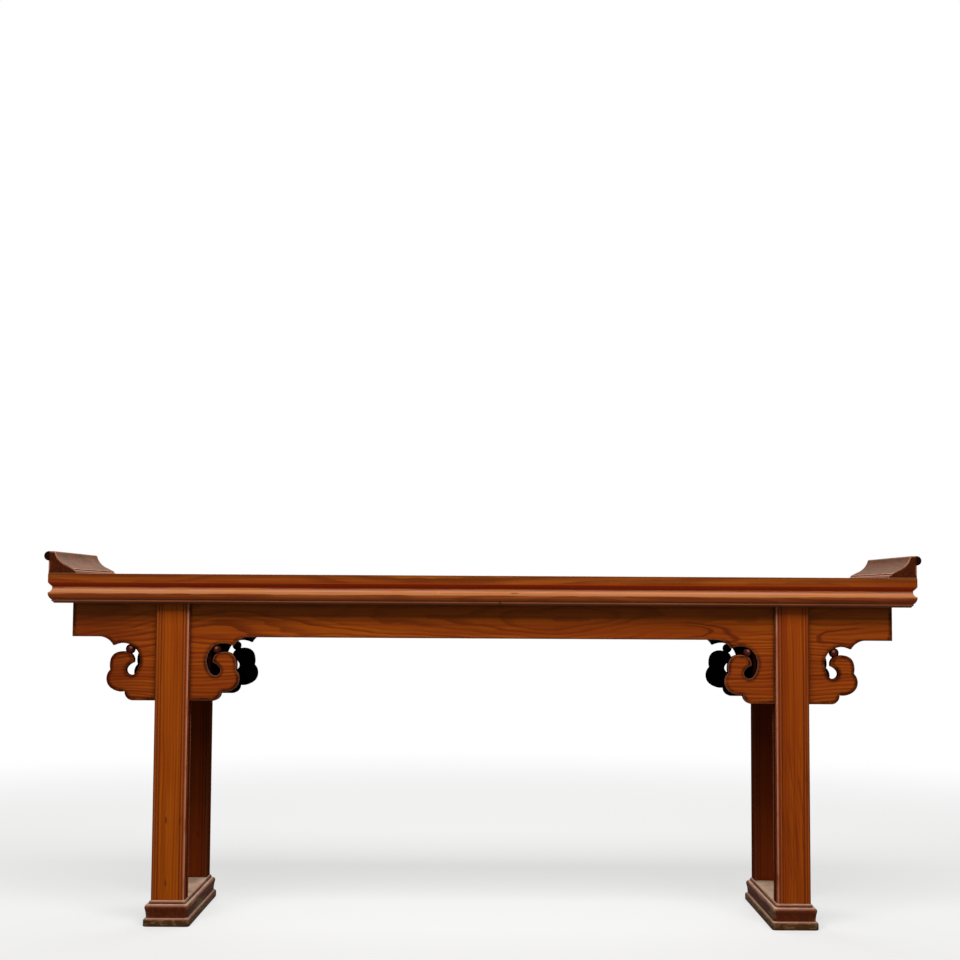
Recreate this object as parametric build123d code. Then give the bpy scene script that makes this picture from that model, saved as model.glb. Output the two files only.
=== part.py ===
from build123d import *
import os
from math import sqrt

# Altar table with upturned ends, in millimetres.
# +X runs along the table, -Y is its front and +Z is up. The origin is on the
# floor, under the middle of the top.

# Overall sizes
top_length = 2120.0  # over the noses of the end mouldings
top_depth = 450.0  # over the noses of the front and rear mouldings
top_height = 850.0  # floor to the flat top
leg_end_inset = 300.0  # from the end nose to the centre of a leg
leg_setback = 34.0  # from the front nose to the front of a leg

# Frame of the top
rail_cover = 1.0  # how far a rail reaches behind its legs
rail_thickness = 33.0
waist_depth = 8.5  # how far the groove between the two mouldings is set in
top_arris = 2.0
mitre_tenon_thickness = 11.0
mitre_tenon_setback = 44.0  # from the front nose to the tenon
mitre_tenon_back_cover = 20.0  # wood between the tenon and the panel
mitre_tenon_end_cover = 20.0  # wood left beyond the end of the tenon

# Strip under the edge of the top
strip_height = 39.0
dowel_radius = 4.0
dowel_depth = 16.0  # in each of the two pieces that it joins
dowel_inset = 25.0  # from the nose of the moulding
long_strip_dowels = 6
short_strip_dowels = 2
dowel_end_margin = 150.0  # from the end of a side to its first dowel

# Panel in the top
panel_thickness = 18.0
panel_tongue = 9.0
panel_tongue_thickness = 7.0
panel_tongue_drop = 6.0  # from the flat top to the tongue
panel_gap = 0.4  # room for the panel to swell
board_tongue = 6.0
board_tongue_thickness = 5.0
board_tongue_drop = 6.0

# Battens under the panel
batten_count = 4
batten_width = 42.0
batten_height = 28.0
dovetail_height = 6.0
dovetail_neck = 24.0
dovetail_crown = 30.0
batten_tenon = 20.0
batten_tenon_width = 30.0
batten_tenon_thickness = 10.0
batten_tenon_drop = 1.5  # from the underside of the panel to the tenon

# Upturned ends
flange_toe = 66.0  # width of the foot of the flange
flange_lip_height = 10.5  # of the small lip over the bead along the foot
flange_rise = 54.0
flange_roll_radius = 11.5
flange_setback = 4.0  # from the front nose to the end of the flange
flange_tongue_thickness = 10.0
flange_tongue_depth = 8.0
flange_tongue_inset = 26.0  # from the outer face of the flange
flange_tongue_end = 40.0

# Aprons
apron_end_inset = 51.0  # from the end nose to the end of the apron
apron_thickness = 22.0
apron_drop = 82.0  # below the strip
apron_setback = 15.0  # behind the front of the legs
apron_tongue = 8.0
apron_tongue_thickness = 8.0
apron_tongue_end = 40.0
board_arris = 2.0  # rounding along the lower edge of the aprons and round the clouds

# Cloud-scroll spandrels
spandrel_drop = 156.0  # below the apron
spandrel_half_width = 180.0
spandrel_let_in = 16.0  # up into the apron
spandrel_tongue = 8.0
cloud_drawing_half_width = 180.0  # the cloud is drawn at this size and scaled to fit
cloud_drawing_drop = 156.0
pearl_radius = 12.0
pearl_thickness = 16.0
pearl_rounding = 7.5  # round the edge of each face of a pearl
housing_depth = 2.0  # how far the boards are let in behind each cheek of a leg

# Legs
leg_width = 82.0
leg_depth = 52.0
bead_width = 8.0  # from a corner to the outer groove on each face
inner_bead_width = 6.5  # from the outer groove to the inner one on the front and back
bead_groove_radius = 1.5
leg_corner_radius = 3.0
cheek_tenon_width = 52.0
cheek_tenon_thickness = 9.0
cheek_tenon_length = 18.0
foot_tenon_width = 52.0
foot_tenon_depth = 30.0
foot_tenon_length = 34.0

# Runners on the floor
runner_overhang = 20.0  # in front of the front leg and behind the rear leg
runner_width = 113.0
runner_height = 60.0

# Clearances
fit = 0.15  # around each tenon, tongue and dowel, on each side
end_room = 0.6  # beyond the end of each tenon, tongue and dowel
dowel_fit = 0.05

# Heights and planes that the pieces share
half_length = top_length / 2
half_depth = top_depth / 2
rail_width = leg_setback + leg_depth + rail_cover
strip_width = leg_setback
mitre_tenon_width = rail_width - mitre_tenon_setback - mitre_tenon_back_cover
rail_bottom = top_height - rail_thickness
strip_bottom = rail_bottom - strip_height
panel_bottom = top_height - panel_thickness
apron_bottom = strip_bottom - apron_drop
spandrel_bottom = apron_bottom - spandrel_drop
opening_half_length = half_length - rail_width
opening_half_depth = half_depth - rail_width
leg_x = half_length - leg_end_inset
leg_front = -half_depth + leg_setback
leg_y = leg_front + leg_depth / 2
trestle_spacing = 2 * leg_x
runner_length = 2 * (runner_overhang - leg_front)
apron_length = top_length - 2 * apron_end_inset
apron_front = leg_front + apron_setback
apron_back = apron_front + apron_thickness
apron_middle = (apron_front + apron_back) / 2
slot_front = apron_front + housing_depth
slot_back = apron_back - housing_depth


def block(x, y, z):
    """A box between two values on each axis."""
    size = Box(x[1] - x[0], y[1] - y[0], z[1] - z[0])
    return Pos((x[0] + x[1]) / 2, (y[0] + y[1]) / 2, (z[0] + z[1]) / 2) * size


def outline(start, *steps):
    """A closed face, drawn from a start point in steps.

    A step is a point, for a line, a pair of via and end, for an arc, or a list of
    points, for a smooth curve through them.
    """
    edges = []
    here = start
    for step in steps:
        if isinstance(step, list):
            edges.append(Spline(here, *step))
            here = step[-1]
        elif isinstance(step[0], tuple):
            via, end = step
            edges.append(ThreePointArc(here, via, end))
            here = end
        else:
            edges.append(Line(here, step))
            here = step
    edges.append(Line(here, start))
    return make_face(edges)


def turned(piece):
    """The same piece at the other side of the table."""
    return Rot(0, 0, 180) * piece


def shifted(piece, x):
    return Pos(x, 0, 0) * piece


def front_bar(section, bottom, length):
    """Runs a section along the front. Its x is measured in from the nose."""
    place = Plane((-length / 2, -half_depth, bottom), x_dir=(0, 1, 0), z_dir=(1, 0, 0))
    return extrude(place * section, length)


def end_bar(section, bottom, length):
    """Runs a section along the left end. Its x is measured in from the nose."""
    place = Plane((-half_length, length / 2, bottom), x_dir=(1, 0, 0), z_dir=(0, -1, 0))
    return extrude(place * section, length)


def front_mitre(width):
    """Plan of a front piece of the top, cut at 45 degrees at both ends."""
    plan = outline(
        (-half_length, -half_depth),
        (half_length, -half_depth),
        (half_length - width, -half_depth + width),
        (-half_length + width, -half_depth + width),
    )
    return extrude(plan, top_height + flange_rise)


def end_mitre(width):
    """Plan of a left end piece of the top, cut at 45 degrees at both ends."""
    plan = outline(
        (-half_length, half_depth),
        (-half_length, -half_depth),
        (-half_length + width, -half_depth + width),
        (-half_length + width, half_depth - width),
    )
    return extrude(plan, top_height + flange_rise)


def rail_section():
    """Upright face above an undercut, with the groove for the panel at the back."""
    tongue_top = rail_thickness - panel_tongue_drop
    groove_top = tongue_top + fit
    groove_bottom = tongue_top - panel_tongue_thickness - fit
    groove_floor = rail_width - panel_tongue - end_room
    corner = top_arris * (1 - sqrt(0.5))
    undercut = rail_thickness / 3
    return outline(
        (waist_depth, 0),
        (rail_width, 0),
        (rail_width, groove_bottom),
        (groove_floor, groove_bottom),
        (groove_floor, groove_top),
        (rail_width, groove_top),
        (rail_width, rail_thickness),
        (top_arris, rail_thickness),
        ((corner, rail_thickness - corner), (0, rail_thickness - top_arris)),
        (0, undercut),
        ((waist_depth * 0.47, undercut * 0.53), (waist_depth, undercut * 0.13)),
    )


def strip_section():
    """Cove out to a lip, a rounded nose under the lip and a small bead below the nose."""
    full = strip_height
    return outline(
        (waist_depth, full),
        (waist_depth, full * 0.96),
        ((waist_depth * 0.75, full * 0.77), (0.8, full * 0.66)),  # cove
        (0, full * 0.64),  # lip
        ((1.8, full * 0.4), (7.2, full * 0.22)),  # nose
        (8.2, full * 0.205),
        ((7.7, full * 0.145), (10.0, full * 0.09)),  # bead
        (13.0, 0),
        (strip_width, 0),
        (strip_width, full),
    )


def mitre_tenon(clearance, end_clearance):
    """Tenon of a front rail in the left end piece, in the middle of the frame's thickness."""
    middle = rail_bottom + rail_thickness / 2
    low = middle - mitre_tenon_thickness / 2 - clearance
    high = middle + mitre_tenon_thickness / 2 + clearance
    front = -half_depth + mitre_tenon_setback - clearance
    back = front + mitre_tenon_width + 2 * clearance
    tip = -half_length + mitre_tenon_end_cover - end_clearance
    return block((tip, -opening_half_length), (front, back), (low, high))


def cheek_tenons(clearance, end_clearance):
    """The two tenons on top of the front left leg."""
    front_middle = (leg_front + slot_front) / 2
    back_middle = (slot_back + leg_front + leg_depth) / 2
    half_width = cheek_tenon_width / 2 + clearance
    half_thickness = cheek_tenon_thickness / 2 + clearance
    width = (-leg_x - half_width, -leg_x + half_width)
    height = (rail_bottom, rail_bottom + cheek_tenon_length + end_clearance)
    front = block(width, (front_middle - half_thickness, front_middle + half_thickness), height)
    back = block(width, (back_middle - half_thickness, back_middle + half_thickness), height)
    return front + back


def foot_tenon(clearance, end_clearance):
    """The tenon under the front left leg."""
    half_width = foot_tenon_width / 2 + clearance
    half_thickness = foot_tenon_depth / 2 + clearance
    return block(
        (-leg_x - half_width, -leg_x + half_width),
        (leg_y - half_thickness, leg_y + half_thickness),
        (runner_height - foot_tenon_length - end_clearance, runner_height),
    )


def apron_top_tongue(clearance, end_clearance):
    """Tongue along the top of the front apron, in the underside of the rail."""
    half = apron_tongue_thickness / 2 + clearance
    reach = min(apron_length / 2, opening_half_length) - apron_tongue_end + end_clearance
    return block(
        (-reach, reach),
        (apron_middle - half, apron_middle + half),
        (rail_bottom, rail_bottom + apron_tongue + end_clearance),
    )


def batten_places():
    """Centres of the battens, evenly spaced along the panel."""
    step = 2 * opening_half_length / (batten_count + 1)
    return [-opening_half_length + step * (i + 1) for i in range(batten_count)]


def batten_tenons(clearance, end_clearance):
    """Tenons of one batten, at x = 0, in the front and rear rails."""
    half_width = batten_tenon_width / 2 + clearance
    reach = opening_half_depth + batten_tenon + end_clearance
    high = panel_bottom - batten_tenon_drop + clearance
    low = panel_bottom - batten_tenon_drop - batten_tenon_thickness - clearance
    return block((-half_width, half_width), (-reach, reach), (low, high))


def batten_dovetail(clearance):
    """Dovetail along the top of one batten, at x = 0."""
    neck = dovetail_neck / 2 + clearance
    crown = dovetail_crown / 2 + clearance
    height = dovetail_height + clearance
    reach = opening_half_depth - panel_gap
    section = outline((-neck, 0), (neck, 0), (crown, height), (-crown, height))
    place = Plane((0, reach, panel_bottom), x_dir=(1, 0, 0), z_dir=(0, -1, 0))
    return extrude(place * section, 2 * reach)


def dowel_spots():
    """Places of the dowels in plan: those of the front strip and those of the left strip."""
    reach = half_length - dowel_end_margin
    step = 2 * reach / (long_strip_dowels - 1)
    front = [(-reach + step * i, -half_depth + dowel_inset) for i in range(long_strip_dowels)]
    reach = half_depth - dowel_end_margin
    step = 2 * reach / (short_strip_dowels - 1)
    left = [(-half_length + dowel_inset, -reach + step * i) for i in range(short_strip_dowels)]
    return front, left


def dowels(spots, clearance, end_clearance):
    """Upright dowels across the joint between the frame and its strips."""
    length = 2 * (dowel_depth + end_clearance)
    pin = Cylinder(dowel_radius + clearance, length)
    return [Pos(x, y, rail_bottom) * pin for x, y in spots]


def top_rail():
    """Front rail of the top, with a tenon at each end."""
    rail = front_bar(rail_section(), rail_bottom, top_length) & front_mitre(rail_width)
    tenon = mitre_tenon(0, 0)
    rail += [tenon, mirror(tenon, Plane.YZ)]
    leg_sockets = cheek_tenons(fit, end_room)
    rail -= [leg_sockets, mirror(leg_sockets, Plane.YZ)]
    rail -= apron_top_tongue(fit, end_room)
    batten_sockets = batten_tenons(fit, end_room)
    rail -= [shifted(batten_sockets, x) for x in batten_places()]
    rail -= dowels(dowel_spots()[0], dowel_fit, end_room)
    return rail


def top_end():
    """Left end piece of the frame, which takes the tenons and the tongue of the flange."""
    end = end_bar(rail_section(), rail_bottom, top_depth) & end_mitre(rail_width)
    socket = mitre_tenon(fit, end_room)
    end -= [socket, mirror(socket, Plane.XZ)]
    end -= flange_joint(fit, end_room)
    end -= dowels(dowel_spots()[1], dowel_fit, end_room)
    return end


def front_strip():
    """Strip under the front rail, with the lower halves of its dowel holes."""
    strip = front_bar(strip_section(), strip_bottom, top_length) & front_mitre(strip_width)
    return strip - dowels(dowel_spots()[0], dowel_fit, end_room)


def end_strip():
    """Strip under the left end piece."""
    strip = end_bar(strip_section(), strip_bottom, top_depth) & end_mitre(strip_width)
    return strip - dowels(dowel_spots()[1], dowel_fit, end_room)


def board_joint(clearance, end_clearance):
    """Tongue of the front board in the rear board, along the middle of the panel."""
    high = top_height - board_tongue_drop + clearance
    low = high - board_tongue_thickness - 2 * clearance
    reach = opening_half_length - panel_gap
    return block((-reach, reach), (0, board_tongue + end_clearance), (low, high))


def half_panel():
    """Front half of the panel, with the tongues around it and the dovetail slots below."""
    edge_x = opening_half_length - panel_gap
    edge_y = opening_half_depth - panel_gap
    tongue_top = top_height - panel_tongue_drop
    tongue_bottom = tongue_top - panel_tongue_thickness
    tongue_x = opening_half_length + panel_tongue
    tongue_y = opening_half_depth + panel_tongue
    board = block((-edge_x, edge_x), (-edge_y, 0), (panel_bottom, top_height))
    board += block((-tongue_x, tongue_x), (-tongue_y, 0), (tongue_bottom, tongue_top))
    slot = batten_dovetail(fit)
    board -= [shifted(slot, x) for x in batten_places()]
    return board


def batten():
    """One batten at x = 0: a bar with a dovetail on top and a tenon at each end."""
    reach = opening_half_depth - panel_gap
    body = block(
        (-batten_width / 2, batten_width / 2),
        (-reach, reach),
        (panel_bottom - batten_height, panel_bottom),
    )
    return body + batten_dovetail(0) + batten_tenons(0, 0)


def flange_joint(clearance, end_clearance):
    """Tongue under the left flange."""
    outer = -half_length + flange_tongue_inset - clearance
    inner = outer + flange_tongue_thickness + 2 * clearance
    reach = half_depth - flange_tongue_end + clearance
    low = top_height - flange_tongue_depth - end_clearance
    return block((outer, inner), (-reach, reach), (low, top_height))


def flange():
    """Left flange: an upright outer face under a roll, and a hollow inner face over a bead."""
    roll_middle = flange_rise - flange_roll_radius
    lip = flange_lip_height
    section = outline(
        (0, 0),
        (0, roll_middle - flange_roll_radius),
        ((-flange_roll_radius, roll_middle), (0, flange_rise)),
        (flange_toe * 0.2, flange_rise),
        (flange_toe * 0.245, flange_rise - 1.6),  # crest
        ((flange_toe * 0.4, flange_rise * 0.61), (flange_toe * 0.7, flange_rise * 0.36)),
        (flange_toe - 2.2, lip),
        (flange_toe - 4.0, lip * 0.82),
        ((flange_toe - 1.1, lip * 0.72), (flange_toe, lip * 0.45)),  # bead
        (flange_toe, 0),
    )
    body = end_bar(section, top_height, top_depth - 2 * flange_setback)
    return body + flange_joint(0, 0)


def apron():
    """Front apron, notched for the spandrels and thinned where it passes through the legs."""
    corner = board_arris * (1 - sqrt(0.5))
    section = outline(
        (apron_front, rail_bottom),
        (apron_front, apron_bottom + board_arris),
        (
            (apron_front + corner, apron_bottom + corner),
            (apron_front + board_arris, apron_bottom),
        ),
        (apron_back, apron_bottom),
        (apron_back, rail_bottom),
    )
    place = Plane((-apron_length / 2, 0, 0), x_dir=(0, 1, 0), z_dir=(1, 0, 0))
    board = extrude(place * section, apron_length)
    board += apron_top_tongue(0, 0)
    notch = block(
        (-leg_x - spandrel_half_width, -leg_x + spandrel_half_width),
        (apron_front, apron_back),
        (apron_bottom, apron_bottom + spandrel_let_in),
    )
    board -= [notch, mirror(notch, Plane.YZ)]
    groove = spandrel_top_tongue(fit, end_room)
    board -= [groove, mirror(groove, Plane.YZ)]
    housing = leg_housings(apron_bottom, rail_bottom)
    board -= [housing, mirror(housing, Plane.YZ)]
    groove = end_apron_tongue(fit, end_room)
    board -= [groove, mirror(groove, Plane.YZ)]
    return board


def leg_housings(bottom, top):
    """The shallow cuts in the front and back of a board, where the left leg's cheeks fit."""
    width = (-leg_x - leg_width / 2, -leg_x + leg_width / 2)
    front = block(width, (apron_front, slot_front + fit), (bottom, top))
    back = block(width, (slot_back - fit, apron_back), (bottom, top))
    return front + back


def spandrel_top_tongue(clearance, end_clearance):
    """Tongue on the front left spandrel, in the apron."""
    half = apron_tongue_thickness / 2 + clearance
    reach = spandrel_half_width - apron_tongue_end + clearance
    low = apron_bottom + spandrel_let_in
    return block(
        (-leg_x - reach, -leg_x + reach),
        (apron_middle - half, apron_middle + half),
        (low, low + spandrel_tongue + end_clearance),
    )


def cloud(x, drop):
    """A point of the cloud's drawing, from the leg's centre and down from the apron."""
    return (
        x * spandrel_half_width / cloud_drawing_half_width,
        -drop * spandrel_drop / cloud_drawing_drop,
    )


def cloud_outline():
    """Right half of a spandrel, from the seam in the apron round to the foot."""
    edge = spandrel_half_width
    cove = (cloud(163.0, 5.8), cloud(148.0, 21.5))
    slot = [
        cloud(134.5, 16.9),
        cloud(120.0, 16.0),
        cloud(99.0, 24.0),
        cloud(85.5, 41.0),
        cloud(82.0, 61.0),
        cloud(87.0, 79.5),
        cloud(97.0, 92.6),
        cloud(110.0, 92.5),
        cloud(116.0, 81.5),
        cloud(110.0, 70.5),
        cloud(98.0, 63.5),
    ]
    upper_lobe = [
        cloud(98.5, 50.5),
        cloud(106.0, 41.0),
        cloud(117.5, 37.0),
        cloud(134.0, 37.0),
        cloud(148.7, 45.3),
        cloud(155.5, 62.0),
        cloud(154.5, 81.0),
    ]
    lower_lobe = [
        cloud(163.3, 98.0),
        cloud(160.0, 117.0),
        cloud(146.0, 129.8),
        cloud(118.5, 134.0),
    ]
    foot = (cloud(112.9, 149.4), cloud(99.5, cloud_drawing_drop))
    return outline(
        (0, spandrel_let_in),
        (edge, spandrel_let_in),
        (edge, 0),
        cove,
        slot,
        upper_lobe,
        lower_lobe,
        foot,
        (0, -spandrel_drop),
    )


def pearl():
    """The carved pearl in the right half of a spandrel, between the arch and the cloud."""
    across, down = cloud(107.0, 30.5)
    disc = fillet(Cylinder(pearl_radius, pearl_thickness).edges(), pearl_rounding)
    return Pos(across, down, apron_thickness / 2) * disc


def spandrel():
    """Front left spandrel: one board with a cloud and a pearl on each side of the leg."""
    half = cloud_outline()
    face = half + mirror(half, Plane.YZ)
    place = Plane((-leg_x, apron_back, apron_bottom), x_dir=(1, 0, 0), z_dir=(0, -1, 0))
    board = extrude(place * face, apron_thickness)
    front = board.faces().sort_by(Axis.Y)[0]
    rim = [edge for edge in front.edges() if edge.center().Z < apron_bottom]
    board = fillet(rim, board_arris)
    board += [place * pearl(), place * mirror(pearl(), Plane.YZ)]
    board += spandrel_top_tongue(0, 0)
    board -= leg_housings(spandrel_bottom, apron_bottom + spandrel_let_in)
    return board


def end_apron_tongue(clearance, end_clearance):
    """Tongue of the left end apron in the front apron."""
    middle = -apron_length / 2 + apron_thickness / 2
    half = apron_tongue_thickness / 2 + clearance
    return block(
        (middle - half, middle + half),
        (apron_back - apron_tongue - end_clearance, apron_back),
        (apron_bottom + apron_tongue - clearance, rail_bottom),
    )


def end_apron():
    """Left end apron, between the front and rear aprons."""
    outer = -apron_length / 2
    board = block(
        (outer, outer + apron_thickness),
        (apron_back, -apron_back),
        (apron_bottom, rail_bottom),
    )
    tongue = end_apron_tongue(0, 0)
    return board + tongue + mirror(tongue, Plane.XZ)


def leg_section():
    """Rectangle with a bead at each corner and a second one beside it on the broad faces."""
    section = fillet(Rectangle(leg_width, leg_depth).vertices(), leg_corner_radius)
    half_x = leg_width / 2
    half_y = leg_depth / 2
    groove = Circle(bead_groove_radius)
    for x in (-1, 1):
        for y in (-1, 1):
            section -= Pos(x * half_x, y * (half_y - bead_width)) * groove
            section -= Pos(x * (half_x - bead_width), y * half_y) * groove
            section -= Pos(x * (half_x - bead_width - inner_bead_width), y * half_y) * groove
    return section


def leg():
    """Front left leg, slotted at the top so that its cheeks clasp the boards."""
    section = Pos(-leg_x, leg_y, runner_height) * leg_section()
    post = extrude(section, rail_bottom - runner_height)
    post -= block(
        (-leg_x - leg_width / 2, -leg_x + leg_width / 2),
        (slot_front, slot_back),
        (spandrel_bottom, rail_bottom),
    )
    return post + cheek_tenons(0, 0) + foot_tenon(0, 0)


def runner_profile(width):
    """Section of a runner: a plinth, a hollow and a rounded shoulder on each side."""
    half = width / 2
    full = runner_height
    side = outline(
        (0, 0),
        (half - 1.5, 0),
        (half, 1.5),
        (half, full * 0.2),
        ((half - 1.0, full * 0.275), (half - 4.4, full * 0.315)),  # top of the plinth
        (half - 5.8, full * 0.34),
        ((half - 5.0, full * 0.52), (half - 2.8, full * 0.7)),  # hollow
        ((half - 3.5, full * 0.8), (half - 8.0, full * 0.865)),  # shoulder
        (half - 11.0, full * 0.875),
        ((half - 11.8, full * 0.95), (half - 15.0, full)),  # bead along the top
        (0, full),
    )
    return side + mirror(side, Plane.YZ)


def runner():
    """Left runner: the same moulding on all four sides, with sockets for two legs."""
    along = Plane((-leg_x, runner_length / 2, 0), x_dir=(1, 0, 0), z_dir=(0, -1, 0))
    across = Plane((-leg_x - runner_width / 2, 0, 0), x_dir=(0, 1, 0), z_dir=(1, 0, 0))
    bar = extrude(along * runner_profile(runner_width), runner_length)
    bar &= extrude(across * runner_profile(runner_length), runner_width)
    socket = foot_tenon(fit, end_room)
    return bar - [socket, mirror(socket, Plane.XZ)]


def all_dowels():
    """Every dowel between the frame and its strips."""
    front, left = dowel_spots()
    rear = [(-x, -y) for x, y in front]
    right = [(-x, -y) for x, y in left]
    return dowels(front + left + rear + right, 0, 0)


def build():
    """Every piece of the table, by name."""
    rail = top_rail()
    end = top_end()
    long_strip = front_strip()
    short_strip = end_strip()
    upturn = flange()
    board = half_panel()
    front_apron = apron()
    left_cloud = spandrel()
    left_leg = leg()
    side_apron = end_apron()
    left_runner = runner()
    right_cloud = shifted(left_cloud, trestle_spacing)
    right_leg = shifted(left_leg, trestle_spacing)
    pieces = {
        "top_rail_front": rail,
        "top_rail_rear": turned(rail),
        "top_end_left": end,
        "top_end_right": turned(end),
        "top_board_front": board + board_joint(0, 0),
        "top_board_rear": turned(board) - board_joint(fit, end_room),
        "edge_strip_front": long_strip,
        "edge_strip_rear": turned(long_strip),
        "edge_strip_left": short_strip,
        "edge_strip_right": turned(short_strip),
        "strip_dowels": Compound(children=all_dowels()),
        "flange_left": upturn,
        "flange_right": turned(upturn),
        "apron_front": front_apron,
        "apron_rear": turned(front_apron),
        "end_apron_left": side_apron,
        "end_apron_right": turned(side_apron),
        "spandrel_front_left": left_cloud,
        "spandrel_front_right": right_cloud,
        "spandrel_rear_left": turned(right_cloud),
        "spandrel_rear_right": turned(left_cloud),
        "leg_front_left": left_leg,
        "leg_front_right": right_leg,
        "leg_rear_left": turned(right_leg),
        "leg_rear_right": turned(left_leg),
        "runner_left": left_runner,
        "runner_right": shifted(left_runner, trestle_spacing),
    }
    for i, x in enumerate(batten_places()):
        pieces[f"batten_{i + 1}"] = shifted(batten(), x)
    return pieces


os.makedirs("parts", exist_ok=True)
for name, piece in build().items():
    export_step(piece, f"parts/{name}.step")
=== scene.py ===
import math

import bmesh
import bpy
from mathutils import Matrix, Vector


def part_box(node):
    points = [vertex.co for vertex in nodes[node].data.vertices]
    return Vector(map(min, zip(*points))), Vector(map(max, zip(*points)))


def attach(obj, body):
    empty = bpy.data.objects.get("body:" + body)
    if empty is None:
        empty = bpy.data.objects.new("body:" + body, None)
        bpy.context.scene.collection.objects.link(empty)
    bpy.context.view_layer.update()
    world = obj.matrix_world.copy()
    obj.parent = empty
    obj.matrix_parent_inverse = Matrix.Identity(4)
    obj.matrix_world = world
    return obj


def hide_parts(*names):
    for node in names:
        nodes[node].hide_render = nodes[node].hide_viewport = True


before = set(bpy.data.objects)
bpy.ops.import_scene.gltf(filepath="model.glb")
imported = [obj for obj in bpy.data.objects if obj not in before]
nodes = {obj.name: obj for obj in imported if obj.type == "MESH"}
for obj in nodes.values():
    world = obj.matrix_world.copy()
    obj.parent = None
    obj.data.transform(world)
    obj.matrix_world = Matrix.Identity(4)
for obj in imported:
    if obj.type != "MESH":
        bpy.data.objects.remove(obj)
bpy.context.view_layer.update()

# Places of the CAD model, in metres, from which the finishes are laid out.
rail_low, rail_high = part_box("top_rail_front")
rail_foot, top_height, rail_end = rail_low.z, rail_high.z, rail_high.x
strip_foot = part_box("edge_strip_front")[0].z
apron_low, apron_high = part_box("apron_front")
apron_face, apron_foot, apron_end = apron_low.y, apron_low.z, apron_high.x
leg_low, leg_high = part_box("leg_front_right")
leg_side, leg_middle = leg_low.x, (leg_low.x + leg_high.x) / 2


def paint(red, green, blue):
    """A colour written as display values of 0 to 255."""
    shares = [value / 255 for value in (red, green, blue)]
    linear = [s / 12.92 if s < 0.04045 else ((s + 0.055) / 1.055) ** 2.4 for s in shares]
    return (*linear, 1.0)


# Each timber's light wood, middle wood, dark ring lines and red patches.
LEG_TONES = paint(160, 77, 8), paint(136, 59, 4), paint(96, 30, 4), paint(122, 40, 5)
RED_LEG_TONES = paint(154, 68, 8), paint(128, 50, 5), paint(88, 24, 4), paint(108, 34, 5)
APRON_TONES = paint(152, 69, 10), paint(126, 49, 7), paint(80, 20, 4), paint(112, 34, 6)
RAIL_TONES = paint(146, 74, 20), paint(118, 50, 10), paint(72, 22, 5), paint(98, 32, 6)
STRIP_TONES = paint(150, 76, 32), paint(124, 50, 18), paint(88, 28, 10), paint(108, 36, 16)
FLANGE_TONES = paint(84, 38, 16), paint(66, 27, 12), paint(44, 16, 8), paint(62, 22, 12)
RUNNER_TONES = paint(96, 44, 22), paint(70, 28, 12), paint(42, 15, 8), paint(78, 24, 12)
BOARD_TONES = paint(124, 66, 30), paint(100, 48, 20), paint(66, 26, 12), paint(86, 34, 14)
INNER_TONES = paint(70, 36, 20), paint(56, 26, 14), paint(36, 14, 8), paint(48, 18, 10)

BLACK_SHADE = paint(12, 5, 4)  # painted black shade: on the carving's inner faces and sides, inside the end aprons, on the rolls and along the runners' foot
LEG_SHADE = paint(86, 30, 12)  # painted shade on the legs' inner faces and on their corners away from the table's middle
SHADED = paint(72, 24, 10)  # painted shade on the legs' sides towards the table's middle
DUSKY_BROWN = paint(78, 46, 30)  # a brown along the legs' inner edges, and dark streaks on the runners
PAINTED_SHADE = paint(44, 6, 2)  # painted shade, a dark red, in hollows, under overhangs and along some edges
GROOVE_SHADE = paint(92, 24, 4)  # a dark red painted shade in the legs' grooves and under the strips' nose
UNDERCUT_SHADE = paint(148, 38, 2)  # a red painted shade in the undercut of the top's edge
KNOT = paint(84, 30, 6)
TONGUE_LINE = paint(84, 20, 4)  # the dark ring round a tongue of grain
OUTLINE_SHADE_AND_DIRT = paint(40, 12, 5)  # painted shade along the edges of the carving, and dirt on the plinths
# painted shade on a pearl, and below it the pearl's painted glint
PEARL_SHADE = paint(62, 16, 14)
PEARL_GLINT = paint(176, 110, 100)
ARRIS = paint(186, 128, 104)  # the lacquer rubbed thin on an edge, and a painted highlight along it
BEAD_WEAR_AND_HIGHLIGHT = paint(150, 78, 48)  # the same on a bead: rubbed thin, with a painted highlight
COVE_FADE_AND_HIGHLIGHT = paint(164, 104, 62)  # the lacquer faded on a moulding's upper side, with a painted highlight on it
# a pink painted highlight on the cove's upper part
PINK_COVE_HIGHLIGHT = paint(158, 102, 84)
FADED_AND_HIGHLIT = paint(152, 103, 84)  # the same on the runners
PALE_DUST = paint(134, 92, 68), paint(112, 90, 68)
BROWN_DUST = paint(118, 74, 42), paint(98, 73, 45)
FLOOR_DUST = paint(180, 150, 130), paint(162, 146, 122)
OLIVE = paint(112, 90, 58)  # old dust that has gone green
WHITE = (1.0, 1.0, 1.0, 1.0)

# Whorls in the aprons' grain, each with its middle in x and z, its length, its width, how far it
# pushes the rings out, and how dark a knot it has.
WHORLS = [
    (0.47, 0.716, 0.10, 0.016, 0.016, 0.0),
    (0.98, 0.716, 0.09, 0.018, 0.014, 0.0),
    (-0.60, 0.735, 0.20, 0.035, 0.012, 0.0),
    (-0.90, 0.700, 0.16, 0.050, 0.014, 0.0),
]
# Tongues of grain that point at the right leg, each with its middle in x and z and its reach
# along and across the board.
TONGUES = [
    (0.470, 0.706, 0.159, 0.034),
    (0.470, 0.716, 0.094, 0.016),
    (0.955, 0.703, 0.114, 0.023),
]
# Small knocks on the front edge, each with its middle in x and z, its reach along and across,
# and its colour.
KNOCKS = [
    (-0.108, 0.808, 0.0042, 0.0065, paint(168, 112, 44)),
    (0.078, 0.8075, 0.0130, 0.0022, paint(96, 46, 20)),
    (0.042, 0.783, 0.0042, 0.0070, paint(30, 8, 4)),
]
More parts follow.
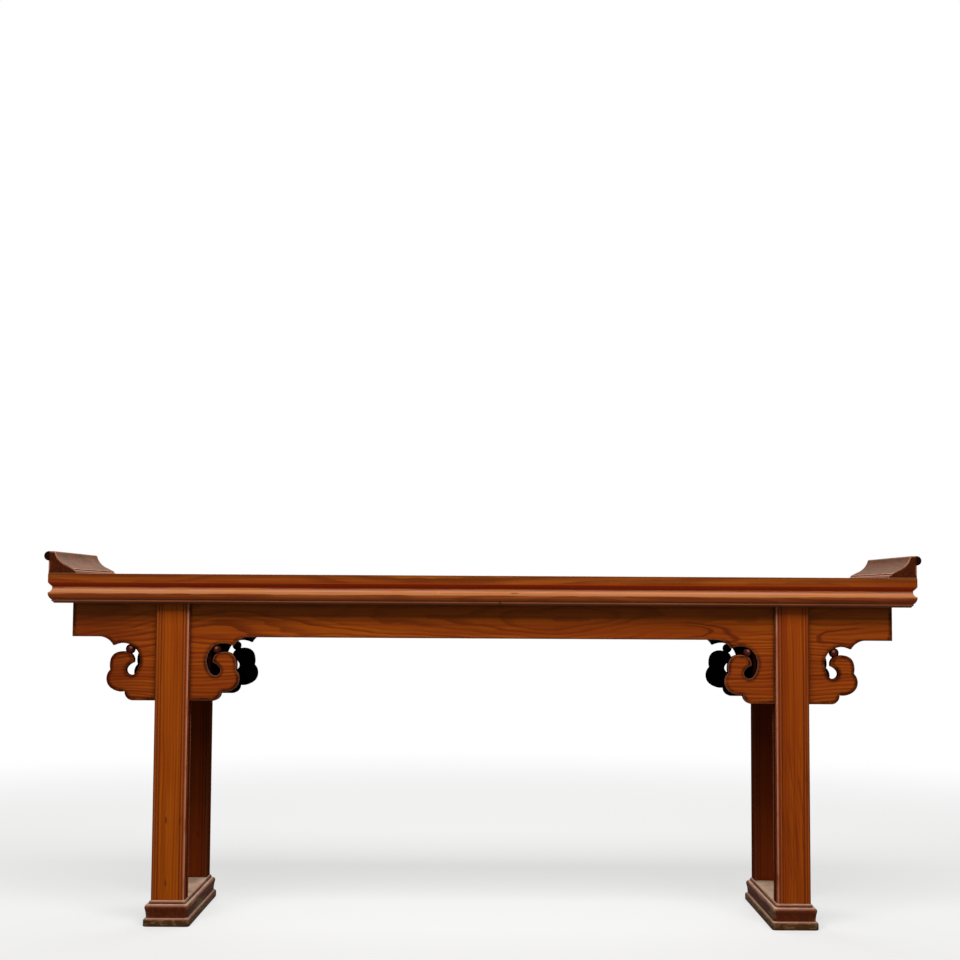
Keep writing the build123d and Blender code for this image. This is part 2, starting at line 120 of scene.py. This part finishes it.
# Each leg's heart, to the right of its middle and behind it, and its knots in height and in x.
LEGS = {
    "leg_front_left": ((-0.11, 0.09), [(0.252, -0.768), (0.101, -0.766), (0.250, -0.7335)]),
    "leg_front_right": ((0.13, 0.10), []),
    "leg_rear_left": ((0.12, -0.12), [(0.172, -0.744), (0.55, -0.77)]),
    "leg_rear_right": ((-0.10, -0.08), [(0.42, 0.76)]),
}
KNOT_SHAPE = 0.014, 0.0045, 0.006, 0.8  # a knot's length, width, push and darkness

# Where each colour begins and ends, in metres. On the top's frame:
UNDERCUT_BAND = 0.0005, 0.0132  # above the rails' foot
CORNER_BAND = -0.0024, 0.0015  # from the table's top
# On the edge strips, above their foot:
COVE_BAND = 0.0232, 0.0376
PINK_EDGE = 0.028, 0.033
QUIRK_BAND = 0.0078, 0.0112
BEAD_BAND = 0.0044, 0.0074
LIP_EDGE = 0.002, 0.0044
# On the flanges, above the table's top:
ROLL_EDGE = 0.026, 0.032
FOOT_EDGE = 0.0052, 0.0068
RUBBED_AND_LIT_BAND = 0.002, 0.008
DUSTY_BAND = -0.001, 0.0016
ROLL_SIDE = -0.006, 0.001  # past the rails' end
# On the aprons, above their foot:
CARVING_EDGE = -0.004, 0.010
BOARD_EDGE = 0.002, 0.004
TOP_SHADE = 0.009, 0.104
BOARD_END = -0.013, -0.011  # past their own end
BARE_EDGE = -0.006, -0.004  # past the legs' inner sides
LEFT_SHADE = 0.80, 0.94  # from the middle
BLACK_SHADE_LINE = 0.0025  # where the painted black shade begins, behind their outer faces
BLACK_SHADE_REACH = 0.003  # and from there to where it is full
PEARL_FROM_LEG = 0.107  # from a leg's middle
PEARL_HEIGHT = 0.6655  # above the floor
PEARL_EDGE = 0.0112, 0.0124  # from the pearl's middle
GLINT_PLACE = (-0.002, 0.0045, 0.0)  # from the pearl's middle
GLINT_EDGE = 0.0015, 0.005  # from the glint's middle
# On the legs, from a corner:
BEAD_FOOT = 0.0035
BEAD_GROOVE = 0.008
SECOND_GROOVE = 0.0145
PALE_ARRIS = 0.0036, 0.0052
DARK_ARRIS = 0.0028, 0.0040
INNER_ARRIS = 0.004, 0.008
GROOVE_EDGE = 0.0008, 0.0022  # from a groove's middle
MIDDLE_EDGE = -0.001, 0.001  # from the leg's middle
# On the runners, above the floor:
PLINTH_EDGE = 0.0140, 0.0205
FLOOR_LINE = 0.0015, 0.004

MITRE_MARGIN = 0.00002  # how far off a mitre's line its corners may lie
MOULDING_DEPTH = 0.02  # no moulding of a runner is set in as far as this
RUNNER_CORNER = 0.009  # the radius of the runners' rounded corners
SHARP_ANGLE = math.radians(38)  # edges that turn more than this stay sharp
SWING = 4  # noise keeps near 0.5, so a bend made from it is enlarged

FLOOR_SIZE = 60.0
FLOOR_FADE = 1.6, 4.5  # from the middle, where the floor turns white
CAMERA_PLACE = -0.008, -4.274, 0.80
CAMERA_TILT = 0.0700  # upwards, in radians
CAMERA_ROLL = 0.0058
CAMERA_LENS = 62.17
SENSOR_WIDTH = 36.0


class Value:
    """An output of a node. Arithmetic on it adds Math nodes."""

    def __init__(self, finish, socket):
        self.finish = finish
        self.socket = socket

    def output(self, name):
        """Another output of the same node."""
        return Value(self.finish, self.socket.node.outputs[name])

    def math(self, operation, *others, clamp=False):
        """A Math node on this value and others."""
        settings = {"operation": operation, "use_clamp": clamp}
        return self.finish.add("Math", settings, dict(enumerate((self, *others))))

    def __add__(self, other):
        return self.math("ADD", other)

    def __sub__(self, other):
        return self.math("SUBTRACT", other)

    def __mul__(self, other):
        return self.math("MULTIPLY", other)

    def __truediv__(self, other):
        return self.math("DIVIDE", other)

    def __rsub__(self, other):
        return self.finish.add("Math", {"operation": "SUBTRACT"}, {0: other, 1: self})

    __radd__ = __add__
    __rmul__ = __mul__

    def size(self):
        """The value without its sign."""
        return self.math("ABSOLUTE")

    def most(self, other):
        """The larger of the two."""
        return self.math("MAXIMUM", other)

    def step(self, low, high):
        """0 up to low, 1 from high and smooth between them."""
        settings = {"interpolation_type": "SMOOTHSTEP"}
        return self.finish.add("MapRange", settings, {0: self, 1: low, 2: high})

    def band(self, low, high, soft=0.0008):
        """1 between low and high."""
        return self.step(low - soft, low + soft) * (1 - self.step(high - soft, high + soft))


class Finish:
    """The nodes of one material or of the world."""

    def __init__(self, owner):
        owner.use_nodes = True
        self.owner = owner
        self.tree = owner.node_tree
        self.tree.nodes.clear()

    def add(self, kind, settings, inputs, output=0):
        """A node with its settings first, then its inputs' values or links. Gives one output."""
        node = self.tree.nodes.new("ShaderNode" + kind)
        for name, value in settings.items():
            setattr(node, name, value)
        for name, value in inputs.items():
            if isinstance(value, Value):
                self.tree.links.new(value.socket, node.inputs[name])
            else:
                node.inputs[name].default_value = value
        return None if output is None else Value(self, node.outputs[output])

    def mix(self, factor, first, second):
        """The first colour, with the second over it by the factor."""
        return self.add("Mix", {"data_type": "RGBA"}, {0: factor, 6: first, 7: second}, 2)

    def vector(self, operation, *values, output=0):
        """A Vector Math node on those values."""
        return self.add("VectorMath", {"operation": operation}, dict(enumerate(values)), output)

    def pair(self, first, second):
        """Two values as a vector."""
        return self.add("CombineXYZ", {}, {0: first, 1: second})

    def length(self, vector):
        return self.vector("LENGTH", vector, output=1)

    def noise(self, place, scale, shift, detail=2.0, rough=0.5):
        """Soft noise about 0.5, as coarse along each axis as 1 / scale."""
        moved = self.vector("MULTIPLY_ADD", place, scale, (shift, shift * 1.7, shift * 0.6))
        inputs = {"Vector": moved, "Scale": 1.0, "Detail": detail, "Roughness": rough}
        return self.add("TexNoise", {"noise_dimensions": "3D"}, inputs)


class Timber(Finish):
    """Lacquered wood, sawn from a log whose heart runs along the grain beside the piece.

    heart is the heart's place across the grain, ring a year's growth, sway how far the log bends,
    contrast how dark the rings are, wave how far they waver, and eyes the whorls and knots.
    """

    def __init__(self, name, grain, heart, seed, tones, ring=0.006, sway=0.012, contrast=0.8,
                 wave=1.1, eyes=()):
        super().__init__(bpy.data.materials.new(name))
        self.place = self.add("TexCoord", {}, {}, "Object")
        facing = self.add("SeparateXYZ", {}, {0: self.place.output("Normal")})
        self.facing_x, self.facing_y, self.facing_z = [facing.output(axis) for axis in "XYZ"]
        spot = self.add("SeparateXYZ", {}, {0: self.place})
        self.x, self.y, self.z = [spot.output(axis) for axis in "XYZ"]
        order = {"X": "XYZ", "Y": "YXZ", "Z": "ZXY"}[grain]
        along, across, over = [spot.output(axis) for axis in order]
        log = self.add("CombineXYZ", {}, {0: along, 1: across, 2: over})
        light, middle, dark, red = tones

        bend = self.noise(log, (1.6, 4.0, 4.0), seed, 1.5, 0.45).output("Color")
        bend = self.add("SeparateXYZ", {}, {0: bend})
        distance = self.length(self.pair(
            across - heart[0] + (bend - 0.5) * sway * SWING,
            over - heart[1] + (bend.output(1) - 0.5) * sway * SWING,
        ))
        knot = None
        for eye_along, eye_across, length, width, push, darkness in eyes:
            off = self.pair((along - eye_along) / length,
                            ((across if grain == "Z" else over) - eye_across) / width)
            hill = (self.vector("DOT_PRODUCT", off, off, output=1) * -1).math("EXPONENT")
            distance = distance + hill * push
            if darkness:
                core = hill.step(0.45, 0.95) * darkness
                knot = knot.most(core) if knot else core
        waver = self.noise(log, (7.0, 40.0, 40.0), seed + 3, 2.0)
        rings = distance / ring + (waver - 0.5) * wave
        year = rings.math("FLOOR")
        season = rings - year
        late = season.step(0.30, 0.86) * (1 - season.step(0.90, 1.0))
        luck = self.add("TexWhiteNoise", {"noise_dimensions": "1D"}, {"W": year + seed})
        late = late * (luck * 0.65 + 0.35)
        pores = self.noise(log, (16.0, 700.0, 700.0), seed, 3.0, 0.6)
        streaks = self.noise(log, (1.8, 130.0, 130.0), seed + 5, 3.0, 0.55)
        clouds = self.noise(log, (2.2, 9.0, 9.0), seed + 8, 2.0)

        colour = self.mix(streaks.step(0.34, 0.66), middle, light)
        colour = self.mix(clouds.step(0.36, 0.72) * 0.5, colour, red)
        colour = self.mix(late * contrast, colour, dark)
        colour = self.mix(pores.step(0.48, 0.78) * 0.25, colour, dark)
        if knot:
            colour = self.mix(knot, colour, KNOT)
        self.colour = colour
        self.late = late
        self.middle = middle
        self.dark = dark
        self.gloss = late * 0.06 + 0.36 + (pores - 0.5) * 0.14
        self.height = (pores - 0.5) * 0.5 - late * 0.5
        self.shut = self.add("AmbientOcclusion", {"samples": 6}, {"Distance": 0.028}, "AO")

    def cover(self, mask, colour):
        """A colour laid over the wood, as thick as the mask says."""
        self.colour = self.mix(mask, self.colour, colour)
        return self

    def shade_hollows(self, depth):
        """Painted shade where the surface is shut in, as the AO node finds it."""
        hollow_shade = (1 - self.shut.step(0.25, 0.80)) * depth
        self.gloss = self.gloss + hollow_shade * 0.15
        return self.cover(hollow_shade, PAINTED_SHADE)

    def colour_edges(self, colour, depth, reach=0.003, where=1.0):
        """Another colour in patches along the edges, within reach of them."""
        settings = {"samples": 8, "inside": True, "only_local": True}
        edge = 1 - self.add("AmbientOcclusion", settings, {"Distance": reach}, "AO")
        patch = self.noise(self.place, (30.0, 30.0, 30.0), 4.0, 3.0, 0.6).step(0.30, 0.62)
        edge_patches = edge.step(0.04, 0.20) * self.shut.step(0.45, 0.75) * (patch * 0.7 + 0.3) * depth
        self.edge_patches = edge_patches * where
        return self.cover(self.edge_patches, colour)

    def fade(self, colour, depth, low, high):
        """Lacquer that has faded where it faces up, with a painted highlight there."""
        grainy = self.noise(self.place, (9.0, 90.0, 90.0), 7.0, 3.0, 0.55).step(0.28, 0.66)
        return self.cover(self.facing_z.step(low, high) * (grainy * 0.3 + 0.7) * depth, colour)

    def dust(self, colours, depth, low=0.25, high=0.9):
        """Dust on what faces up, thick in some places and wiped in others."""
        drift = self.noise(self.place, (24.0, 24.0, 24.0), 2.0, 4.0, 0.65).step(0.30, 0.60)
        layer = self.facing_z.step(low, high) * (drift * 0.6 + 0.4) * depth
        patch = self.noise(self.place, (30.0, 11.0, 30.0), 6.0, 3.0, 0.6).step(0.42, 0.62)
        self.gloss = self.gloss + layer * 0.3
        return self.cover(layer, self.mix(patch, *colours))

    def close(self, matt=None):
        """The lacquer's gloss, its orange tint and its fine relief. By matt, the gloss is lost."""
        relief = {"Strength": 0.4, "Distance": 0.0005, "Height": self.height}
        ground = {"Base Color": self.colour, "Normal": self.add("Bump", {}, relief)}
        lacquer = {"Roughness": self.gloss, "IOR": 1.4, "Specular Tint": (1.0, 0.42, 0.12, 1.0)}
        surface = self.add("BsdfPrincipled", {}, {**ground, **lacquer})
        if matt:
            dull = {"Roughness": 0.9, "Specular IOR Level": 0.0}
            edge_patches = self.add("BsdfPrincipled", {}, {**ground, **dull})
            surface = self.add("MixShader", {}, {0: matt, 1: surface, 2: edge_patches})
        self.add("OutputMaterial", {}, {"Surface": surface}, None)
        return self.owner


def grain_tongues(wood, run):
    """A calm patch inside each tongue of grain, and the dark ring round its tip."""
    waver = (wood.noise(wood.place, (16.0, 1.0, 34.0), 11.0, 1.0, 0.4) - 0.5) * 0.6
    for x, z, reach, half_height in TONGUES:
        spread = wood.length(wood.pair((run - x) / reach, (wood.z - z) / half_height)) + waver
        wood.cover((1 - spread.step(0.9, 1.6)) * 0.45, wood.middle)
        ring = 1 - (spread - 1).size().step(0.02, 0.12)
        tip = ((run - x) * math.copysign(1, leg_middle - x)).step(0.0, 0.05)
        wood.cover(ring * tip * 0.9, TONGUE_LINE)


def pearls(wood):
    """The pearl in each cloud's hook, painted dark as shade, with a painted glint."""
    from_leg = (wood.x.size() - leg_middle).size()
    off = wood.pair(from_leg - PEARL_FROM_LEG, wood.z - PEARL_HEIGHT)
    wood.cover(1 - wood.length(off).step(*PEARL_EDGE), PEARL_SHADE)
    off = wood.vector("SUBTRACT", off, GLINT_PLACE)
    wood.cover((1 - wood.length(off).step(*GLINT_EDGE)) * 0.6, PEARL_GLINT)


def apron_wood(side, back):
    """An apron and its spandrels, as one board.

    back is 1 for the front one and -1 for the rear one, which is the front one turned round.
    """
    whorls = [(x * back, *rest) for x, *rest in WHORLS]
    wood = Timber(side + "_apron_wood", "X", (back * (apron_face - 0.07), 0.765), 2.0 + back,
                  APRON_TONES, ring=0.0082, sway=0.026, contrast=0.8, wave=1.9, eyes=whorls)
    run = wood.x * back
    height = wood.z - apron_foot
    board = height.step(*BOARD_EDGE)
    ends = (wood.x.size() - apron_end).step(*BOARD_END)
    outside = (wood.x.size() - leg_side).step(*BARE_EDGE)
    grain_tongues(wood, run)
    wood.cover(wood.late * (1 - height.step(*CARVING_EDGE)) * 0.5, wood.dark)
    # Painted shade in the hollows, and a painted shadow under the top, darker towards the apron's
    # top.
    wood.shade_hollows(0.85).cover(height.step(*TOP_SHADE) * 0.45, PAINTED_SHADE)
    # Painted shade along the carving's edges and the board's ends.
    wood.colour_edges(OUTLINE_SHADE_AND_DIRT, 0.95, 0.012, where=(1 - board).most(ends))
    outline = wood.edge_patches
    wood.cover((run * -1).step(*LEFT_SHADE) * 0.55, wood.dark)
    wood.colour_edges(ARRIS, 0.22, 0.0035, where=(1 - outside) * (1 - board))
    pearls(wood)
    # Painted black shade on the carving's thickness and on the faces behind it.
    behind = (wood.y * back - (apron_face + BLACK_SHADE_LINE)) / BLACK_SHADE_REACH
    behind = behind.math("ADD", 0.0, clamp=True)
    return wood.cover(behind, BLACK_SHADE).close(behind.most(outline))


def end_apron_wood(side, sign):
    """An end apron, with painted black shade on its inner face. sign is the side's sign in x, here
    and below.
    """
    wood = Timber("end_apron_wood_" + side, "Y", (sign * 1.08, 0.77), 4.0 + sign, APRON_TONES)
    inner = (wood.facing_x * -sign).step(0.35, 0.8)
    return wood.shade_hollows(0.75).colour_edges(ARRIS, 0.35).cover(inner * 0.9, BLACK_SHADE).close(inner)


def rail_wood(name, grain, heart, seed):
    """The top's frame: a red painted shade in the undercut low on its edge, and a painted dark
    line of shade along its upper corner.
    """
    wood = Timber(name, grain, heart, seed, RAIL_TONES).shade_hollows(0.5)
    edge = (1 - wood.facing_z.size().step(0.8, 0.95)) * 0.8
    wood.cover((wood.z - rail_foot).band(*UNDERCUT_BAND) * edge, UNDERCUT_SHADE)
    wood.cover((wood.z - top_height).band(*CORNER_BAND, soft=0.0004) * edge, PAINTED_SHADE)
    return wood.close()


def strip_wood(name, grain, heart, seed, knocks=()):
    """An edge strip: the cove above the nose, faded and with a painted highlight, and the bead,
    with a painted highlight, between two lines of painted shade.
    """
    wood = Timber(name, grain, heart, seed, STRIP_TONES).shade_hollows(0.6)
    height = wood.z - strip_foot
    sway = wood.noise(wood.place, (9.0, 9.0, 0.0), 7.0, 3.0, 0.55) - 0.5
    streaks = wood.noise(wood.place, (3.0, 3.0, 240.0), 5.0, 3.0, 0.6)
    # The cove's faded lacquer and painted highlight, pink at its top.
    cove = (height + sway * 0.010).band(*COVE_BAND)
    wood.cover(cove * (streaks.step(0.3, 0.6) * 0.45 + 0.5), COVE_FADE_AND_HIGHLIGHT)
    wood.cover(cove * height.step(*PINK_EDGE) * (sway + 0.5).step(0.35, 0.6) * 0.8, PINK_COVE_HIGHLIGHT)
    # Painted shade under the nose and along the lower lip, with the bead's painted highlight
    # between them.
    wood.cover(height.band(*QUIRK_BAND) * 0.8, GROOVE_SHADE)
    wood.cover(height.band(*BEAD_BAND) * 0.55, BEAD_WEAR_AND_HIGHLIGHT)
    wood.cover((1 - height.step(*LIP_EDGE)) * 0.8, PAINTED_SHADE)
    for x, z, reach, half_height, colour in knocks:
        spread = wood.length(wood.pair((wood.x - x) / reach, (wood.z - z) / half_height))
        wood.cover((1 - spread.step(0.5, 1.1)) * 0.7, colour)
    return wood.close()


def flange_wood(side, sign, dust, depth):
    """An upturned end: dusty above, rubbed along its edges with a painted highlight, and painted
    black as shade on its roll.
    """
    wood = Timber(side + "_flange_wood", "Y", (sign * 1.2, 0.84), 16.0 + sign, FLANGE_TONES)
    height = wood.z - top_height
    roll = (wood.x * sign - rail_end).step(*ROLL_SIDE) * height.step(*ROLL_EDGE)
    end = wood.facing_y.size().step(0.5, 0.9)
    foot = 1 - height.step(*FOOT_EDGE)
    wood.shade_hollows(0.5).dust(dust, depth, 0.05, 0.5)
    # The foot's bead rubbed pale, with a painted highlight.
    wood.cover(height.band(*RUBBED_AND_LIT_BAND) * (1 - end) * 0.5, ARRIS)
    wood.cover(height.band(*DUSTY_BAND) * 0.6, OLIVE)
    wood.colour_edges(ARRIS, 0.8, 0.004, where=1 - roll.most(foot))
    # Painted black shade on the roll.
    return wood.cover(roll * 0.85, BLACK_SHADE).close(end.most(roll) * 0.3 + 0.7)


def runner_wood(side, sign):
    """A runner: faded above with a painted highlight, streaked on its flanks, dusty between the
    legs, scuffed below, and painted black as shade along the floor.
    """
    wood = Timber(side + "_runner_wood", "Y", (sign * 0.9, -0.06), 18.0 + sign, RUNNER_TONES)
    streaks = wood.noise(wood.place, (90.0, 7.0, 130.0), 3.0, 3.0, 0.6)
    flank = wood.facing_x.size().step(0.2, 0.6)
    wood.shade_hollows(0.6).fade(FADED_AND_HIGHLIT, 0.75, 0.3, 0.75)
    wood.cover(streaks.step(0.50, 0.60) * flank * 0.75, OLIVE)
    wood.cover((1 - streaks.step(0.36, 0.46)) * flank * 0.8, DUSKY_BROWN)
    wood.colour_edges(ARRIS, 0.5).dust(FLOOR_DUST, 0.95, 0.7, 0.98)
    scuffs = wood.noise(wood.place, (60.0, 60.0, 160.0), 9.0, 3.0, 0.65)
    plinth = 1 - wood.z.step(*PLINTH_EDGE)
    wood.cover(plinth * scuffs.step(0.34, 0.50) * 0.80, OUTLINE_SHADE_AND_DIRT)
    wood.cover(plinth * ((1 - scuffs.step(0.40, 0.52)) * 0.45 + 0.14), OLIVE)
    # Painted black shade along the floor.
    foot = 1 - wood.z.step(*FLOOR_LINE)
    return wood.cover(foot * 0.85, BLACK_SHADE).close(flank * 0.4 + 0.5)


def board_wood():
    """The boards of the top, under a little dust."""
    wood = Timber("board_wood", "X", (0.02, 0.77), 21.0, BOARD_TONES, ring=0.007, sway=0.02)
    return wood.shade_hollows(0.6).dust(PALE_DUST, 0.35).close()


def leg_wood(name, seed, heart, knots):
    """A leg, with a bead and two grooves beside each corner, painted shade on its inner faces and
    inner sides, and painted highlights on its beads.
    """
    low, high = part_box(name)
    middle = (low + high) / 2
    half_width = (high.x - low.x) / 2
    inward = -1 if middle.y > 0 else 1  # the way to the table's middle in y
    centre = -1 if middle.x > 0 else 1  # and in x
    eyes = [(height, x, *KNOT_SHAPE) for height, x in knots]
    figured = name == "leg_front_right"  # redder wood, with slanting streaks
    wood = Timber(name + "_wood", "Z", (middle.x + heart[0], middle.y + heart[1]), seed,
                  RED_LEG_TONES if figured else LEG_TONES, ring=0.0052, sway=0.005,
                  contrast=0.55, eyes=eyes)
    if figured:
        slant = wood.add("CombineXYZ", {}, {0: wood.x + wood.z * 0.10, 2: wood.z})
        figure = wood.noise(slant, (190.0, 1.0, 9.0), 6.0, 2.0, 0.6).step(0.48, 0.66)
        wood.cover(figure * wood.z.band(0.12, 0.46, 0.08) * 0.5, wood.dark)
    wood.shade_hollows(0.7)

    across, deep = wood.facing_x, wood.facing_y * inward
    face = deep.size().step(0.6, 0.9)
    side = across.size().step(0.45, 0.85)
    shaded = (across * centre).step(0.45, 0.85)
    inner = deep.step(0.35, 0.8)
    from_corner = half_width - (wood.x - middle.x).size()
    towards = ((wood.x - middle.x) * centre).step(*MIDDLE_EDGE)
    # A painted highlight on the beads, brighter towards the table's middle.
    wood.cover(from_corner.band(BEAD_FOOT, SECOND_GROOVE) * face * (towards * 0.2 + 0.1), BEAD_WEAR_AND_HIGHLIGHT)
    # Painted shade along each groove.
    for groove in (BEAD_GROOVE, SECOND_GROOVE):
        line = 1 - (from_corner - groove).size().step(*GROOVE_EDGE)
        wood.cover(line * face * (towards * 0.3 + 0.15), GROOVE_SHADE)
    # Painted shade on the sides towards the middle and on the inner faces.
    wood.cover(shaded * 0.85, SHADED)
    wood.cover(inner * 0.75, LEG_SHADE)

    # The corner towards the table's middle is rubbed pale, with a painted highlight, and the one
    # away from it is painted dark as shade.
    edge_patches = wood.noise(wood.place, (50.0, 50.0, 14.0), 5.0, 3.0, 0.6).step(0.30, 0.55)
    rubbed_highlight = (1 - from_corner.step(*PALE_ARRIS)) * (1 - side) * (1 - inner)
    wood.cover(rubbed_highlight * towards * (edge_patches * 0.55 + 0.10), ARRIS)
    dark = (1 - from_corner.step(*DARK_ARRIS)) * (1 - towards) * (1 - inner)
    wood.cover(dark * 0.75, LEG_SHADE)
    wood.cover((1 - from_corner.step(*INNER_ARRIS)) * towards * inner * 0.6, DUSKY_BROWN)
    return wood.close(side.most(inner))


def moulding(name):
    """The heights and insets of a mitred moulding, read along one of its mitres."""
    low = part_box(name)[0]
    points = set()
    for vert in nodes[name].data.vertices:
        inset = vert.co - low
        if abs(inset.x - inset.y) < MITRE_MARGIN and inset.x < MOULDING_DEPTH:
            points.add((round(vert.co.z, 5), round(inset.x, 5)))
    return sorted(points)


def rounded_runner(name):
    """The runner again, with its corners rounded by hand."""
    low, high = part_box(name)
    middle = (low + high) / 2
    points = moulding(name)
    first = points[0][1]
    mesh = bmesh.new()
    bmesh.ops.create_grid(mesh, x_segments=1, y_segments=1, size=0.5)
    bmesh.ops.scale(mesh, vec=high - low - Vector((2 * first, 2 * first, 0)), verts=mesh.verts)
    bmesh.ops.bevel(mesh, geom=mesh.verts, offset=RUNNER_CORNER, segments=6, affect="VERTICES",
                    profile=0.5, material=-1)
    bmesh.ops.translate(mesh, vec=(*middle.xy, low.z), verts=mesh.verts)
    top = mesh.faces[:][0]
    for (height, inset), (next_height, next_inset) in zip(points, points[1:]):
        made = bmesh.ops.extrude_face_region(mesh, geom=[top])["geom"]
        if height > low.z:  # the first face stays, as the underside
            bmesh.ops.delete(mesh, geom=[top], context="FACES_ONLY")
        top = next(part for part in made if isinstance(part, bmesh.types.BMFace))
        for vert in top.verts:
            side = [math.copysign(1, value) for value in (vert.co - middle).xy]
            vert.co.xy -= Vector(side) * (next_inset - inset)
            vert.co.z = next_height
    bmesh.ops.recalc_face_normals(mesh, faces=mesh.faces)
    for face in mesh.faces:
        face.smooth = len(face.verts) == 4
    data = bpy.data.meshes.new(name + "_rounded")
    mesh.to_mesh(data)
    mesh.free()
    data.set_sharp_from_angle(angle=SHARP_ANGLE)
    piece = bpy.data.objects.new(name + "_rounded", data)
    bpy.context.scene.collection.objects.link(piece)
    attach(piece, "root")
    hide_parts(name)
    return piece


def give(material, *names):
    """The material on the CAD nodes of those names."""
    for name in names:
        slots = nodes[name].data.materials
        slots.clear()
        slots.append(material)


for side, back in (("front", 1), ("rear", -1)):
    give(apron_wood(side, back),
         "apron_" + side, f"spandrel_{side}_left", f"spandrel_{side}_right")
for side, sign in (("left", -1), ("right", 1)):
    give(end_apron_wood(side, sign), "end_apron_" + side)
for side, sign, knocks in (("front", -1, KNOCKS), ("rear", 1, ())):
    give(rail_wood(side + "_rail_wood", "X", (sign * 0.34, 0.80), 6.0 + sign),
         "top_rail_" + side)
    give(strip_wood(side + "_strip_wood", "X", (sign * 0.31, 0.74), 9.0 + sign, knocks),
         "edge_strip_" + side)
for side, sign, dust, depth in (("left", -1, PALE_DUST, 0.60), ("right", 1, BROWN_DUST, 0.48)):
    give(rail_wood(side + "_end_wood", "Y", (sign * 1.2, 0.80), 12.0 + sign), "top_end_" + side)
    give(strip_wood(side + "_end_strip_wood", "Y", (sign * 1.2, 0.74), 14.0 + sign),
         "edge_strip_" + side)
    give(flange_wood(side, sign, dust, depth), "flange_" + side)
    rounded_runner("runner_" + side).data.materials.append(runner_wood(side, sign))
give(board_wood(), "top_board_front", "top_board_rear")
give(Timber("inner_wood", "Y", (0.0, 0.7), 22.0, INNER_TONES).close(),
     "batten_1", "batten_2", "batten_3", "batten_4", "strip_dowels")
for index, (name, (heart, knots)) in enumerate(LEGS.items()):
    give(leg_wood(name, 30.0 + index, heart, knots), name)


# The studio: a pale floor that keeps the shadow, a pale surround and soft lamps overhead.


def seen_rays(finish):
    """1 for what the camera sees straight, in a reflection or through glass."""
    ray = finish.add("LightPath", {}, {}, "Is Camera Ray")
    return ray.most(ray.output("Is Glossy Ray")).most(ray.output("Is Transmission Ray"))


def lamp(name, place, target, width, depth, power):
    """A soft rectangular lamp that points at a place."""
    light = bpy.data.lights.new(name, "AREA")
    light.shape = "RECTANGLE"
    light.size, light.size_y, light.energy = width, depth, power
    holder = bpy.data.objects.new(name, light)
    bpy.context.scene.collection.objects.link(holder)
    aim = (Vector(target) - Vector(place)).to_track_quat("-Z", "Y")
    holder.matrix_world = Matrix.Translation(place) @ aim.to_matrix().to_4x4()


bpy.ops.mesh.primitive_plane_add(size=FLOOR_SIZE, location=(0.0, 0.0, 0.0))
floor = bpy.context.object
floor.name = "studio_floor"
ground = Finish(bpy.data.materials.new("studio_floor"))
seen = seen_rays(ground)
spot = ground.add("TexCoord", {}, {}, "Object")
far = ground.length(spot).step(*FLOOR_FADE)
pale = ground.mix(seen, paint(110, 108, 106), paint(206, 205, 204))
matt = ground.add("BsdfDiffuse", {}, {"Color": pale})
glow = ground.add("Emission", {}, {"Color": WHITE, "Strength": 1.0})
surface = ground.add("MixShader", {}, {0: seen * (far * 0.5 + 0.5), 1: matt, 2: glow})
ground.add("OutputMaterial", {}, {"Surface": surface}, None)
floor.data.materials.append(ground.owner)

world = bpy.data.worlds.new("studio")
bpy.context.scene.world = world
surround = Finish(world)
strength = seen_rays(surround) * 0.78 + 0.22
light = surround.add("Background", {}, {"Color": WHITE, "Strength": strength})
surround.add("OutputWorld", {}, {"Surface": light}, None)

lamp("front_lamp", (0.0, -2.3, 3.4), (0.0, -0.2, 0.5), 4.0, 1.6, 190.0)
lamp("back_lamp", (0.0, 2.6, 3.2), (0.0, 0.2, 0.5), 4.0, 1.6, 100.0)

camera_data = bpy.data.cameras.new("camera")
camera_data.lens = CAMERA_LENS
camera_data.sensor_width = SENSOR_WIDTH
camera = bpy.data.objects.new("camera", camera_data)
bpy.context.scene.collection.objects.link(camera)
tilt = Matrix.Rotation(math.pi / 2 + CAMERA_TILT, 4, "X")
roll = Matrix.Rotation(CAMERA_ROLL, 4, "Z")
camera.matrix_world = Matrix.Translation(CAMERA_PLACE) @ tilt @ roll
bpy.context.scene.camera = camera
bpy.context.scene.view_settings.view_transform = "Standard"
